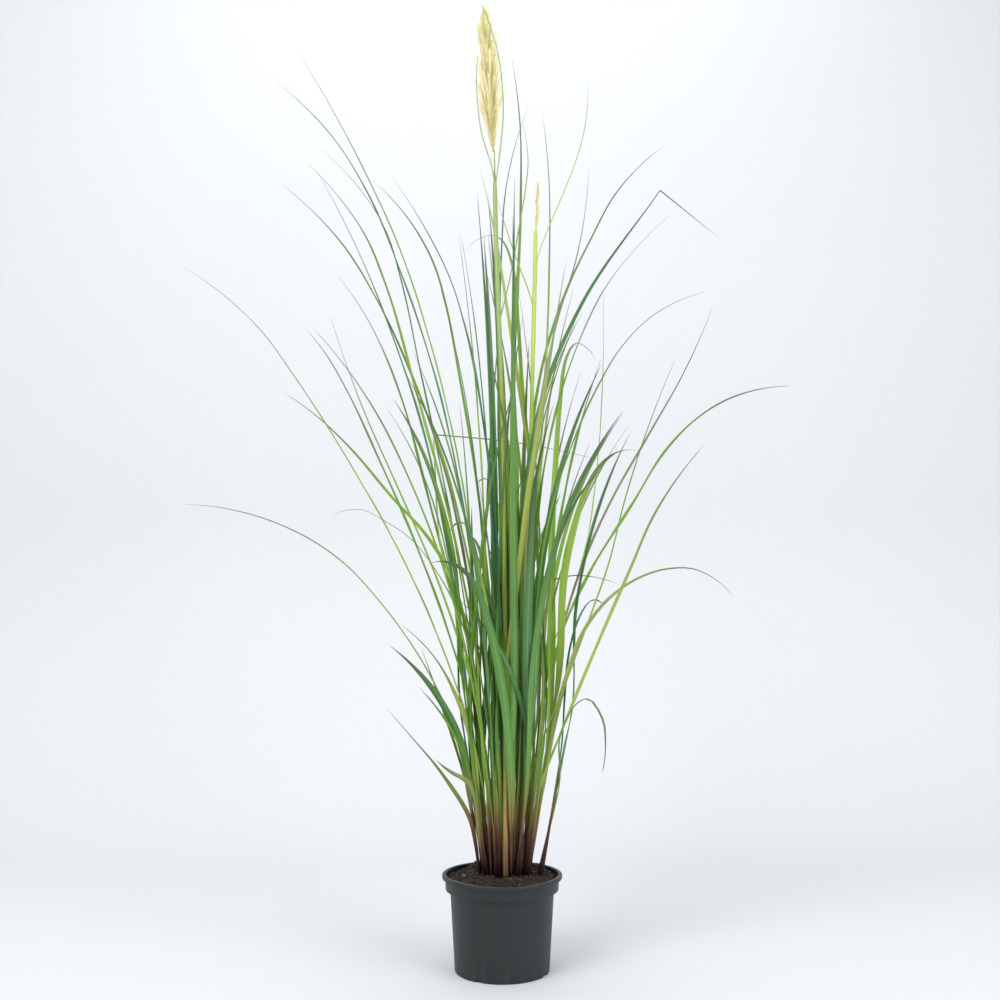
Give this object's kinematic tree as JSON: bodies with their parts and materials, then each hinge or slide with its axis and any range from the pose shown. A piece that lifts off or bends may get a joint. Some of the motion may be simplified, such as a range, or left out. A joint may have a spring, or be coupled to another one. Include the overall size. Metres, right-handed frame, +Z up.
{
  "type": "potted pampas grass",
  "caption": "Tall tuft of arching pampas grass with one open and one young cream plume, growing in bark compost in a round black plastic nursery pot.",
  "frame": {"origin": "middle of the pot's flat underside", "axes": "+Z up along the pot's axis; -Y towards the picture's camera; +X to the right in the picture"},
  "size_m": [1.2504, 0.9746, 1.885],
  "materials": {
    "pot_plastic": "moulded black polypropylene with a soft sheen",
    "compost": "moist dark bark compost",
    "leaf": "matt green blades with purple-brown sheaths at the foot",
    "tall_stem": "smooth light green cane",
    "young_stem": "smooth yellow-green cane",
    "plume": "dry cream flower hairs"
  },
  "bodies": {
    "root": {"flower_stem_tall": "tall_stem", "flower_stem_young": "young_stem", "plume_tall": "plume", "plume_young": "plume", "pot": "pot_plastic", "potting_soil": "compost", "shoot_01": "leaf", "shoot_02": "leaf", "shoot_03": "leaf", "shoot_04": "leaf", "shoot_05": "leaf", "shoot_06": "leaf", "shoot_07": "leaf", "shoot_08": "leaf", "shoot_09": "leaf", "shoot_10": "leaf", "shoot_11": "leaf", "shoot_12": "leaf", "shoot_13": "leaf", "shoot_14": "leaf", "shoot_15": "leaf", "shoot_16": "leaf", "shoot_17": "leaf", "shoot_18": "leaf", "shoot_19": "leaf", "shoot_20": "leaf", "shoot_21": "leaf", "shoot_22": "leaf", "shoot_23": "leaf", "shoot_24": "leaf", "shoot_25": "leaf", "shoot_26": "leaf", "shoot_27": "leaf", "shoot_28": "leaf", "shoot_29": "leaf", "shoot_30": "leaf", "shoot_31": "leaf", "shoot_32": "leaf", "shoot_33": "leaf", "shoot_34": "leaf", "shoot_35": "leaf", "shoot_36": "leaf", "shoot_37": "leaf", "shoot_38": "leaf", "shoot_39": "leaf", "shoot_40": "leaf"}
  },
  "joints": []
}
